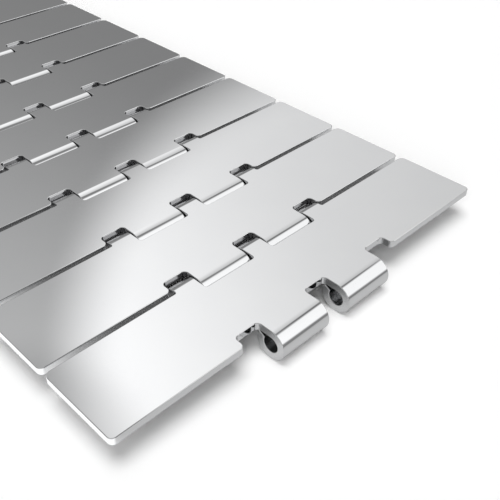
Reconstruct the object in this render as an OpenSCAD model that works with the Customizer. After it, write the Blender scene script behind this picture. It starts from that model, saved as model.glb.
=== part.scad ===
// Slat top chain: ten stamped slats joined by hinge pins.
// Each slat is one strip with two eyes rolled on its front edge and three on its rear edge.
// The rear outer eyes hold the pin, and the next slat's front eyes turn on it.
// X runs across the chain, Y along it with the free front eyes at -Y, and Z up from the base.

/* [Slat] */
// Distance from one hinge axis to the next
pitch = 38.1; // [32:0.1:60]
// Width of a slat across the chain
slat_w = 190.5; // [100:0.5:310]
// Thickness of the strip
plate_t = 3.2; // [2.4:0.1:4]
// Gap between the wings of two slats
wing_gap = 2.2; // [1.8:0.1:4]
// Radius of the front corners of a wing
front_corner_r = 2; // [0.5:0.1:4]
// Radius of the rear corners of a wing
rear_corner_r = 2.5; // [0.5:0.1:4]

/* [Eyes] */
// Width of each of the two front eyes
front_eye_w = 23.7; // [16:0.1:30]
// Width of the rear centre eye
centre_eye_w = 10; // [6:0.1:16]
// Width of each of the two rear outer eyes
outer_eye_w = 10; // [6:0.1:16]
// Gap on each side of an eye
eye_side_gap = 0.5; // [0.4:0.05:1]
// Gap between the tip of a curl and the strip above it
curl_tip_gap = 0.2; // [0.1:0.05:0.6]
// Clearance between a turning eye and the corners of its notch
notch_clearance = 0.3; // [0.2:0.05:1]
// Radius of the inner corners of the front notches
front_notch_r = 1.8; // [1:0.1:2.4]
// Radius of the inner corners of the rear notches
rear_notch_r = 1.2; // [1:0.1:2.4]
// Radius of the inner corners between the wings and the rear outer tabs
root_fillet_r = 0.8; // [0.2:0.1:0.8]

/* [Hinge pins] */
// Diameter of a hinge pin
pin_d = 6.35; // [5:0.05:8]
// Radial clearance of a pin in the eyes that turn on it
running_clearance = 0.075; // [0.02:0.005:0.1]
// Depth of a pin's ends inside the outer eyes
pin_recess = 0.3; // [0:0.05:1]
// Chamfer on the ends of a pin
pin_chamfer = 0.4; // [0.1:0.05:0.8]

/* [Hidden] */
NODES = [
  "slat_01", "slat_02", "slat_03", "slat_04", "slat_05",
  "slat_06", "slat_07", "slat_08", "slat_09", "slat_10",
  "hinge_pin_01", "hinge_pin_02", "hinge_pin_03", "hinge_pin_04", "hinge_pin_05",
  "hinge_pin_06", "hinge_pin_07", "hinge_pin_08", "hinge_pin_09", "hinge_pin_10"
];
links = len(NODES) / 2;
$fn = 96;
// How far cutters and joined shapes run past each other, and how deep a curl is welded into its strip
overlap = 1;
weld = 0.1;

pin_r = pin_d / 2;
bore_r = pin_r + running_clearance;
eye_r = bore_r + plate_t;
axis_z = eye_r;
first_axis_y = -links * pitch / 2;

// Places of the eyes and notches, measured from the middle of the slat
centre_eye_x = centre_eye_w / 2;
front_eye_in = centre_eye_x + eye_side_gap;
front_eye_out = front_eye_in + front_eye_w;
outer_eye_in = front_eye_out + eye_side_gap;
outer_eye_out = outer_eye_in + outer_eye_w;
wing_in = outer_eye_out + eye_side_gap;
centre_notch_w = 2 * front_eye_in;
outer_notch_w = wing_in - front_eye_out;
outer_notch_x = (wing_in + front_eye_out) / 2;
rear_notch_w = outer_eye_in - centre_eye_x;
rear_notch_x = (outer_eye_in + centre_eye_x) / 2;

// How far a turning eye reaches at the underside of the strip, and how deep a notch has to be
eye_reach = sqrt(eye_r * eye_r - bore_r * bore_r);
function corner_reach(r) = r - sqrt(r * r - pow(max(r - eye_side_gap, 0), 2));
function notch_edge(r) = eye_reach + notch_clearance + corner_reach(r);
front_notch_y = notch_edge(front_notch_r);
rear_notch_y = pitch - notch_edge(rear_notch_r);

wing_front_y = wing_gap / 2;
wing_rear_y = pitch - wing_gap / 2;

pin_len = 2 * (outer_eye_out - pin_recess);

// What a round corner takes off a square one at the origin, with the material at +X and +Y
module corner_waste(r) {
  difference() {
    translate([-overlap, -overlap]) square(r + overlap);
    translate([r, r]) circle(r);
  }
}

// Fills a square inner corner at the origin, with the open side at +X and +Y
module corner_fillet(r) {
  difference() {
    translate([-overlap, -overlap]) square(r + overlap);
    translate([r, r]) circle(r);
  }
}

// An open notch that runs from behind y = 0 to y = depth, with round inner corners
module notch(w, depth, r) {
  difference() {
    translate([-w / 2, -overlap]) square([w, depth + overlap]);
    translate([-w / 2, depth]) mirror([0, 1]) corner_fillet(r);
    translate([w / 2, depth]) rotate(180) corner_fillet(r);
  }
}

// The notches and round corners on the side of the slat at -X
module side_waste() {
  translate([-slat_w / 2, wing_front_y]) corner_waste(front_corner_r);
  translate([-wing_in, wing_front_y]) mirror([1, 0]) corner_waste(front_corner_r);
  translate([-slat_w / 2, wing_rear_y]) mirror([0, 1]) corner_waste(rear_corner_r);
  translate([-outer_notch_x, 0]) notch(outer_notch_w, front_notch_y, front_notch_r);
  translate([-rear_notch_x, pitch]) mirror([0, 1]) notch(rear_notch_w, pitch - rear_notch_y, rear_notch_r);
}

// The strip's outline, with its tabs out to both hinge axes
module slat_plan() {
  difference() {
    union() {
      translate([-slat_w / 2, wing_front_y]) square([slat_w, wing_rear_y - wing_front_y]);
      translate([-outer_eye_out, 0]) square([2 * outer_eye_out, pitch]);
      translate([outer_eye_out, wing_rear_y]) corner_fillet(root_fillet_r);
      translate([-outer_eye_out, wing_rear_y]) mirror([1, 0]) corner_fillet(root_fillet_r);
    }
    notch(centre_notch_w, front_notch_y, front_notch_r);
    side_waste();
    mirror([1, 0]) side_waste();
  }
}

// Section of one rolled eye round the origin. The strip comes in from +X at the top, and the curl
// closes until its tip almost meets the strip's underside.
module eye_section(hole_r) {
  tip_y = bore_r - curl_tip_gap;
  tip_x = sqrt(eye_r * eye_r - tip_y * tip_y);
  difference() {
    circle(eye_r);
    circle(hole_r);
    polygon([[0, 0], [0, eye_r + overlap], [eye_r, eye_r + overlap], [eye_r, tip_y * eye_r / tip_x]]);
  }
  translate([-weld, bore_r]) square([overlap, plate_t - weld]);
}

// One eye from x0 to x1 that curls under the strip; way is 1 at the front edge and -1 at the rear
module eye(x0, x1, hole_r, way) {
  translate([x0, 0, 0])
    rotate([90, 0, 90])
      linear_extrude(x1 - x0)
        mirror([way < 0 ? 1 : 0, 0]) eye_section(hole_r);
}

module slat(number) {
  color([0.86, 0.87, 0.88])
    translate([0, first_axis_y + (number - 1) * pitch, axis_z]) {
      translate([0, 0, bore_r]) linear_extrude(plate_t) slat_plan();
      eye(-front_eye_out, -front_eye_in, bore_r, 1);
      eye(front_eye_in, front_eye_out, bore_r, 1);
      translate([0, pitch, 0]) {
        eye(-outer_eye_out, -outer_eye_in, pin_r, -1);
        eye(-centre_eye_x, centre_eye_x, bore_r, -1);
        eye(outer_eye_in, outer_eye_out, pin_r, -1);
      }
    }
}

// The pin in a slat's rear eyes
module hinge_pin(number) {
  color([0.72, 0.73, 0.75])
    translate([-pin_len / 2, first_axis_y + number * pitch, axis_z])
      rotate([0, 90, 0])
        rotate_extrude()
          polygon([
            [0, 0],
            [pin_r - pin_chamfer, 0],
            [pin_r, pin_chamfer],
            [pin_r, pin_len - pin_chamfer],
            [pin_r - pin_chamfer, pin_len],
            [0, pin_len]
          ]);
}

slat(1);  // slat_01
slat(2);  // slat_02
slat(3);  // slat_03
slat(4);  // slat_04
slat(5);  // slat_05
slat(6);  // slat_06
slat(7);  // slat_07
slat(8);  // slat_08
slat(9);  // slat_09
slat(10);  // slat_10
hinge_pin(1);  // hinge_pin_01
hinge_pin(2);  // hinge_pin_02
hinge_pin(3);  // hinge_pin_03
hinge_pin(4);  // hinge_pin_04
hinge_pin(5);  // hinge_pin_05
hinge_pin(6);  // hinge_pin_06
hinge_pin(7);  // hinge_pin_07
hinge_pin(8);  // hinge_pin_08
hinge_pin(9);  // hinge_pin_09
hinge_pin(10);  // hinge_pin_10
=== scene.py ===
"""Looks of the slat top chain: polished steel slats and pins on a white floor in soft studio light.

Lengths are in metres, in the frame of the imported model. Angles given to functions are in degrees:
azimuth runs from +Y towards +X, and elevation is above the horizon.
"""

import math

import bpy
from mathutils import Matrix, Vector


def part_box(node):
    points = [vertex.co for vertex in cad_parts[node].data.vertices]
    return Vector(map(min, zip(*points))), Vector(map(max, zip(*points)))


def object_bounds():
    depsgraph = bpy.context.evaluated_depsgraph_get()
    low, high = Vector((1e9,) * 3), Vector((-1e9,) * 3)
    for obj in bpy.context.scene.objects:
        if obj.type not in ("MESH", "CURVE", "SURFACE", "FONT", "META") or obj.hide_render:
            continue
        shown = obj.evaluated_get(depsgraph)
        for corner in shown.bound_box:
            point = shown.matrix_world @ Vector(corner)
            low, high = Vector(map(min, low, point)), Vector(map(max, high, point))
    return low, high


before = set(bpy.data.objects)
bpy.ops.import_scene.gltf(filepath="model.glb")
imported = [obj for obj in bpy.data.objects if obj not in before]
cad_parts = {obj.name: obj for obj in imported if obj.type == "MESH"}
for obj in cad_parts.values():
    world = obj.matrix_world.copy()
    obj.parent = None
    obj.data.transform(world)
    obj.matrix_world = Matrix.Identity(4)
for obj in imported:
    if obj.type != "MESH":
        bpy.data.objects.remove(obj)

CAD_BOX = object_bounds()
MM = 0.001

# The hinge axes run along X. The first one has no pin: it is a pitch in front of the first pin.
FIRST_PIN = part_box("hinge_pin_01")
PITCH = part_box("hinge_pin_02")[0].y - FIRST_PIN[0].y
FIRST_AXIS_Y = (FIRST_PIN[0].y + FIRST_PIN[1].y) / 2 - PITCH
AXIS_Z = (FIRST_PIN[0].z + FIRST_PIN[1].z) / 2

# A slat: its bore, the underside of its plate, and where its wings start on each side of the middle
BORE_R = 3.25 * MM
PLATE_BOTTOM = AXIS_Z + BORE_R
WING_IN = 40.2 * MM

# How far modifiers round the edges
SLAT_ROUND = 0.3 * MM
PIN_ROUND = 0.1 * MM

# ---------------------------------------------------------------- helpers


def direction(azimuth, elevation):
    """Unit vector."""
    a, e = math.radians(azimuth), math.radians(elevation)
    return Vector((math.sin(a) * math.cos(e), math.cos(a) * math.cos(e), math.sin(e)))


def wire(tree, value, socket):
    """Plugs a socket or a plain value into another socket."""
    if isinstance(value, bpy.types.NodeSocket):
        tree.links.new(value, socket)
    else:
        socket.default_value = value


def maths(tree, operation, *values):
    node = tree.nodes.new("ShaderNodeMath")
    node.operation = operation
    for socket, value in zip(node.inputs, values):
        wire(tree, value, socket)
    return node.outputs[0]


def product(tree, first, *others):
    """All the values multiplied with each other."""
    for value in others:
        first = maths(tree, "MULTIPLY", first, value)
    return first


def dot(tree, a, b):
    node = tree.nodes.new("ShaderNodeVectorMath")
    node.operation = "DOT_PRODUCT"
    wire(tree, a, node.inputs[0])
    wire(tree, tuple(b), node.inputs[1])
    return node.outputs["Value"]


def components(tree, vector):
    """The x, y and z of a vector."""
    node = tree.nodes.new("ShaderNodeSeparateXYZ")
    wire(tree, vector, node.inputs[0])
    return node.outputs[0], node.outputs[1], node.outputs[2]


def smooth(tree, value, start, end, low=0.0, high=1.0):
    """A smooth step of value from low, at start, to high, at end."""
    node = tree.nodes.new("ShaderNodeMapRange")
    node.interpolation_type = "SMOOTHSTEP"
    node.clamp = True
    for name, item in (
        ("Value", value),
        ("From Min", start),
        ("From Max", end),
        ("To Min", low),
        ("To Max", high),
    ):
        wire(tree, item, node.inputs[name])
    return node.outputs[0]


def noise(tree, vector, scale, detail, roughness=0.5):
    node = tree.nodes.new("ShaderNodeTexNoise")
    wire(tree, vector, node.inputs["Vector"])
    node.inputs["Scale"].default_value = scale
    node.inputs["Detail"].default_value = detail
    node.inputs["Roughness"].default_value = roughness
    return node.outputs["Fac"]


def mix(tree, data_type, factor, a, b, first, result):
    """A Mix node has sockets for every data type, so a goes in at number first, and b after it."""
    node = tree.nodes.new("ShaderNodeMix")
    node.data_type = data_type
    for index, value in ((0, factor), (first, a), (first + 1, b)):
        wire(tree, value, node.inputs[index])
    return node.outputs[result]


def mix_value(tree, factor, a, b):
    return mix(tree, "FLOAT", factor, a, b, first=2, result=0)


def mix_colour(tree, factor, a, b):
    return mix(tree, "RGBA", factor, a, b, first=6, result=2)


def mix_shader(tree, factor, a, b):
    node = tree.nodes.new("ShaderNodeMixShader")
    for index, value in enumerate((factor, a, b)):
        wire(tree, value, node.inputs[index])
    return node.outputs[0]


# ---------------------------------------------------------------- steel

PAINTED_WALL_SHADE = (0.60, 0.60, 0.605, 1)
PAINTED_CORNER_SHADE = (0.14, 0.14, 0.145, 1)
CLOUD_SCALE = 60.0
GRAIN_DEPTH = 0.02 * MM


def joint_places(tree, coordinates):
    """Three masks: sheared edges and bores, and the places of painted shade: walls of the closed notches,
    and those notches' corners.
    """
    facing_x, facing_y, facing_z = (
        maths(tree, "ABSOLUTE", part) for part in components(tree, coordinates["Normal"])
    )
    x, y, z = components(tree, coordinates["Object"])
    sideways = smooth(tree, facing_x, 0.80, 0.97)

    # Pitches from the first axis, and then the distance from the nearest axis
    pitches = maths(tree, "DIVIDE", maths(tree, "SUBTRACT", y, FIRST_AXIS_Y), PITCH)
    remainder = maths(tree, "SUBTRACT", pitches, maths(tree, "ROUND", pitches))
    behind = maths(tree, "MULTIPLY", remainder, PITCH)
    above = maths(tree, "SUBTRACT", z, AXIS_Z)
    squares = maths(tree, "MULTIPLY_ADD", behind, behind, maths(tree, "MULTIPLY", above, above))
    bore = smooth(tree, maths(tree, "SQRT", squares), BORE_R + 0.15 * MM, BORE_R + 0.45 * MM, 1.0, 0.0)

    # The plate's upright faces between the wings, from the second slat on, look at the barrels in front
    # of them, and get painted shade.
    shaded_walls = product(
        tree,
        smooth(tree, facing_z, 0.35, 0.6, 1.0, 0.0),
        smooth(tree, maths(tree, "ABSOLUTE", x), WING_IN + 0.4 * MM, WING_IN + 0.8 * MM, 1.0, 0.0),
        smooth(tree, z, PLATE_BOTTOM - 0.5 * MM, PLATE_BOTTOM - 0.1 * MM),
        smooth(tree, behind, 3.0 * MM, 4.0 * MM),
        smooth(tree, pitches, 0.5, 0.6),
    )
    # A round inner corner faces neither straight along the chain nor straight across it, and gets a
    # darker painted shade.
    slanted = smooth(tree, maths(tree, "MINIMUM", facing_x, facing_y), 0.08, 0.30)
    return maths(tree, "MAXIMUM", sideways, bore), shaded_walls, product(tree, shaded_walls, slanted)


def steel(name, light, dark, polished, sheared, grain, bump):
    """Stainless steel with a faint cloudiness and a very fine grain, in object space, and painted shade
    on the walls and corners of the closed notches.

    Polished and sheared are the roughnesses of its faces and of its sheared edges and bores.
    """
    material = bpy.data.materials.new(name)
    material.use_nodes = True
    tree = material.node_tree
    tree.nodes.clear()
    coordinates = tree.nodes.new("ShaderNodeTexCoord").outputs
    clouds = noise(tree, coordinates["Object"], CLOUD_SCALE, detail=2.0)
    fine = noise(tree, coordinates["Object"], grain, detail=4.0, roughness=0.6)
    edges, shaded_walls, corners = joint_places(tree, coordinates)

    shader = tree.nodes.new("ShaderNodeBsdfPrincipled")
    shader.inputs["Metallic"].default_value = 1.0
    colour = mix_colour(tree, clouds, light, dark)
    # Painted shade: the closed notches' walls, which look at the barrels, are darkened.
    colour = mix_colour(tree, shaded_walls, colour, PAINTED_WALL_SHADE)
    # Painted shade: those notches' round inner corners are darkened much more.
    colour = mix_colour(tree, corners, colour, PAINTED_CORNER_SHADE)
    wire(tree, colour, shader.inputs["Base Color"])
    on_faces = smooth(tree, fine, 0.3, 0.7, polished - 0.02, polished + 0.02)
    on_edges = smooth(tree, fine, 0.3, 0.7, sheared - 0.06, sheared + 0.06)
    wire(tree, mix_value(tree, edges, on_faces, on_edges), shader.inputs["Roughness"])

    relief = tree.nodes.new("ShaderNodeBump")
    relief.inputs["Strength"].default_value = bump
    relief.inputs["Distance"].default_value = GRAIN_DEPTH
    wire(tree, fine, relief.inputs["Height"])
    wire(tree, relief.outputs[0], shader.inputs["Normal"])
    wire(tree, shader.outputs[0], tree.nodes.new("ShaderNodeOutputMaterial").inputs["Surface"])
    return material


SLAT_STEEL = steel(
    "slat_steel",
    light=(0.80, 0.805, 0.81, 1),
    dark=(0.77, 0.775, 0.785, 1),
    polished=0.05,
    sheared=0.22,
    grain=900.0,
    bump=0.02,
)
PIN_STEEL = steel(
    "pin_steel",
    light=(0.74, 0.74, 0.75, 1),
    dark=(0.68, 0.69, 0.70, 1),
    polished=0.14,
    sheared=0.24,
    grain=1400.0,
    bump=0.03,
)

# ---------------------------------------------------------------- the chain's own nodes


def polish(node, material, width):
    """Gives a CAD node its material and rounds its edges with modifiers; its mesh stays as imported."""
    node.data.materials.clear()
    node.data.materials.append(material)
    weld = node.modifiers.new("weld", "WELD")
    weld.merge_threshold = 0.005 * MM
    planar = node.modifiers.new("planar", "DECIMATE")
    planar.decimate_type = "DISSOLVE"
    planar.angle_limit = math.radians(1)
    edges = node.modifiers.new("edges", "BEVEL")
    edges.width = width
    edges.segments = 3
    edges.limit_method = "ANGLE"
    edges.angle_limit = math.radians(40)
    edges.use_clamp_overlap = False
    even = node.modifiers.new("even", "WEIGHTED_NORMAL")
    even.keep_sharp = False


for name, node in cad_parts.items():
    if name.startswith("slat_"):
        polish(node, SLAT_STEEL, SLAT_ROUND)
    else:
        polish(node, PIN_STEEL, PIN_ROUND)

# ---------------------------------------------------------------- camera

# The camera looks at a point on the first slat's top, a little to the left of the middle.
AIM = Vector((-10.82 * MM, FIRST_AXIS_Y + 33.10 * MM, CAD_BOX[1].z))
CAMERA_AWAY = 276.09 * MM
# Where it looks: the azimuth, how far below the horizon, and the roll about its own axis
CAMERA_AZIMUTH = 44.532
CAMERA_DROP = 39.474
CAMERA_ROLL = 0.393

forward = direction(CAMERA_AZIMUTH, -CAMERA_DROP)
turn = forward.to_track_quat("-Z", "Y").to_matrix() @ Matrix.Rotation(math.radians(CAMERA_ROLL), 3, "Z")
camera_data = bpy.data.cameras.new("camera")
camera_data.sensor_width = 36
camera_data.lens = 52.731
camera_data.shift_x = 0.0169
camera_data.shift_y = 0.0253
camera_data.clip_start = 0.01
camera_data.clip_end = 100
camera = bpy.data.objects.new("camera", camera_data)
bpy.context.scene.collection.objects.link(camera)
bpy.context.scene.camera = camera
camera.location = AIM - forward * CAMERA_AWAY
camera.rotation_euler = turn.to_euler()

# ---------------------------------------------------------------- studio

AMBIENT = 0.26
SKY_ON_MATT = 0.08


def panel(tree, ray, azimuth, elevation, tilt, half_size, feather):
    """Mask of a far soft panel. Its size and feather, across and up, are tangents from its middle."""
    middle = direction(azimuth, elevation)
    side = direction(azimuth + 90, 0)
    swing = Matrix.Rotation(math.radians(tilt), 3, middle)
    facing = dot(tree, ray, middle)
    safe = maths(tree, "MAXIMUM", facing, 0.001)
    mask = smooth(tree, facing, 0.0, 0.05)
    for axis, half, soft in zip((side, side.cross(middle)), half_size, feather):
        tangent = maths(tree, "DIVIDE", dot(tree, ray, swing @ axis), safe)
        within = smooth(tree, maths(tree, "ABSOLUTE", tangent), half - soft, half + soft, 1.0, 0.0)
        mask = product(tree, mask, within)
    return mask


def disc(tree, ray, azimuth, elevation, edge, feather):
    """Mask of a round area. Its edge is the cosine of the angle from its middle, feathered both ways."""
    return smooth(tree, dot(tree, ray, direction(azimuth, elevation)), edge - feather, edge + feather)


def lights(tree, ray):
    """Strength and mask of each soft light that reflections see."""
    # The key light is cut off softly on one side and falls off across its face.
    key = disc(tree, ray, azimuth=59, elevation=45, edge=0.924, feather=0.023)
    cut = disc(tree, ray, azimuth=-15.3, elevation=-2.1, edge=-0.252, feather=0.213)
    slope = maths(tree, "MULTIPLY_ADD", dot(tree, ray, direction(-17.4, 32.8)), 3.41, 1.0)
    # The front panel lacks its low end, which the tops would mirror when seen from low behind.
    front = panel(
        tree, ray, azimuth=130, elevation=33.4, tilt=-29, half_size=(0.33, 0.52), feather=(0.15, 0.12)
    )
    low_end = disc(tree, ray, azimuth=112, elevation=5, edge=0.932, feather=0.016)
    return (
        (0.202, product(tree, key, cut, maths(tree, "MAXIMUM", slope, 0.0))),
        (0.90, product(tree, front, maths(tree, "SUBTRACT", 1.0, low_end))),
        (0.76, disc(tree, ray, azimuth=3.4, elevation=52.2, edge=1.0, feather=0.228)),
        (0.26, disc(tree, ray, azimuth=-135, elevation=28, edge=0.45, feather=0.30)),
    )


def shades(tree, ray):
    """Strength and mask of each soft shade, most of which draw dark lines along rounded edges."""
    x, y, z = components(tree, ray)
    flag = product(
        tree,
        smooth(tree, x, 0.10, 0.20),
        smooth(tree, x, 0.40, 0.30),
        smooth(tree, y, -0.15, -0.35),
        smooth(tree, z, 0.92, 0.80),
    )
    return (
        (0.45, disc(tree, ray, azimuth=90, elevation=53, edge=0.9965, feather=0.0025)),
        (0.24, disc(tree, ray, azimuth=16, elevation=54, edge=0.9844, feather=0.0101)),
        (0.66, disc(tree, ray, azimuth=-36, elevation=45, edge=0.966, feather=0.022)),
        (0.72, flag),
    )


def background(tree, strength):
    node = tree.nodes.new("ShaderNodeBackground")
    node.inputs["Color"].default_value = (1, 1, 1, 1)
    wire(tree, strength, node.inputs["Strength"])
    return node.outputs[0]


def studio_world():
    """White to the camera, a low grey with lights and shades to reflections, and dim to matt surfaces."""
    world = bpy.data.worlds.new("studio")
    world.use_nodes = True
    tree = world.node_tree
    tree.nodes.clear()
    ray = tree.nodes.new("ShaderNodeTexCoord").outputs["Generated"]
    path = tree.nodes.new("ShaderNodeLightPath").outputs
    total = AMBIENT
    for strength, mask in lights(tree, ray):
        total = maths(tree, "ADD", total, maths(tree, "MULTIPLY", strength, mask))
    for strength, mask in shades(tree, ray):
        total = product(tree, total, smooth(tree, mask, 0, 1, 1.0, 1.0 - strength))
    total = product(tree, total, mix_value(tree, path["Is Diffuse Ray"], 1.0, SKY_ON_MATT))
    surface = mix_shader(tree, path["Is Camera Ray"], background(tree, total), background(tree, 1.0))
    wire(tree, surface, tree.nodes.new("ShaderNodeOutputWorld").inputs["Surface"])
    return world


def soft_sun(name, azimuth, elevation, spread, share):
    """A wide distant lamp for matt surfaces only. Share is what it gives a white floor, of 1."""
    data = bpy.data.lights.new(name, "SUN")
    data.angle = math.radians(spread)
    data.energy = share * math.pi / math.sin(math.radians(elevation))
    lamp = bpy.data.objects.new(name, data)
    bpy.context.scene.collection.objects.link(lamp)
    lamp.rotation_euler = (-direction(azimuth, elevation)).to_track_quat("-Z", "Y").to_euler()
    lamp.visible_glossy = False


bpy.context.scene.world = studio_world()
soft_sun("overhead_lamp", azimuth=-90, elevation=85.3, spread=40, share=0.56)
soft_sun("left_lamp", azimuth=-122, elevation=34, spread=44, share=0.27)
soft_sun("back_lamp", azimuth=20, elevation=64, spread=48, share=0.09)

# ---------------------------------------------------------------- floor

# Half of its side
FLOOR_HALF = 3.0
# How white the floor is to the camera, to matt surfaces, and to reflections near the chain and far off
WHITE_TO_CAMERA = 1.03
WHITE_TO_MATT = 0.8
WHITE_NEAR = 0.61
WHITE_FAR = 0.25
# How far from the chain's box it changes from near to far
NEAR_END = 20 * MM
FAR_START = 100 * MM
# The floor's glow, which only reflections see: at the chain's left, and under it and to its right
GLOW = 0.7
FAINT_GLOW = 0.09


def floor_whiteness(tree, path, x, y):
    across = maths(tree, "SUBTRACT", maths(tree, "ABSOLUTE", x), CAD_BOX[1].x)
    along = maths(tree, "SUBTRACT", maths(tree, "ABSOLUTE", y), CAD_BOX[1].y)
    outside = maths(tree, "MAXIMUM", across, along)
    reflected = smooth(tree, outside, NEAR_END, FAR_START, WHITE_NEAR, WHITE_FAR)
    unseen = mix_value(tree, path["Is Glossy Ray"], WHITE_TO_MATT, reflected)
    return mix_value(tree, path["Is Camera Ray"], unseen, WHITE_TO_CAMERA)


def floor_glow(tree, path, x, y):
    """Strength of the glow, which is full at the chain's left and faint under the chain and beyond."""
    left = CAD_BOX[0].x
    back = CAD_BOX[1].y
    beside = smooth(tree, x, left - 4 * MM, left + 10 * MM, GLOW, 0.0)
    below = smooth(tree, x, left - 2 * MM, left + 40 * MM, GLOW, FAINT_GLOW)
    covered = smooth(tree, maths(tree, "ABSOLUTE", y), back - 6 * MM, back - 2 * MM, 1.0, 0.0)
    place = maths(tree, "MAXIMUM", beside, product(tree, below, covered))
    # Light that has met a matt surface on its way is left out.
    direct = maths(tree, "LESS_THAN", path["Diffuse Depth"], 0.5)
    return product(tree, place, direct, path["Is Glossy Ray"])


def floor_paint():
    material = bpy.data.materials.new("white_floor")
    material.use_nodes = True
    tree = material.node_tree
    tree.nodes.clear()
    path = tree.nodes.new("ShaderNodeLightPath").outputs
    surface = tree.nodes.new("ShaderNodeNewGeometry").outputs
    x, y, _ = components(tree, surface["Position"])

    white = floor_whiteness(tree, path, x, y)
    grey = tree.nodes.new("ShaderNodeCombineColor")
    for socket in grey.inputs:
        wire(tree, white, socket)
    matt = tree.nodes.new("ShaderNodeBsdfDiffuse")
    wire(tree, grey.outputs[0], matt.inputs["Color"])
    glow = tree.nodes.new("ShaderNodeEmission")
    wire(tree, floor_glow(tree, path, x, y), glow.inputs["Strength"])
    both = tree.nodes.new("ShaderNodeAddShader")
    wire(tree, matt.outputs[0], both.inputs[0])
    wire(tree, glow.outputs[0], both.inputs[1])

    # The floor is left out when it is looked at from below, so that the chain's underside shows.
    clear = tree.nodes.new("ShaderNodeBsdfTransparent").outputs[0]
    from_below = product(tree, path["Is Camera Ray"], surface["Backfacing"])
    one_sided = mix_shader(tree, from_below, both.outputs[0], clear)
    wire(tree, one_sided, tree.nodes.new("ShaderNodeOutputMaterial").inputs["Surface"])
    return material


floor_mesh = bpy.data.meshes.new("floor")
corners = ((-1, -1), (1, -1), (1, 1), (-1, 1))
floor_mesh.from_pydata(
    [(x * FLOOR_HALF, y * FLOOR_HALF, CAD_BOX[0].z) for x, y in corners],
    [],
    [(0, 1, 2, 3)],
)
floor_mesh.materials.append(floor_paint())
floor = bpy.data.objects.new("floor", floor_mesh)
bpy.context.scene.collection.objects.link(floor)

# ---------------------------------------------------------------- output

bpy.context.scene.view_settings.view_transform = "Standard"
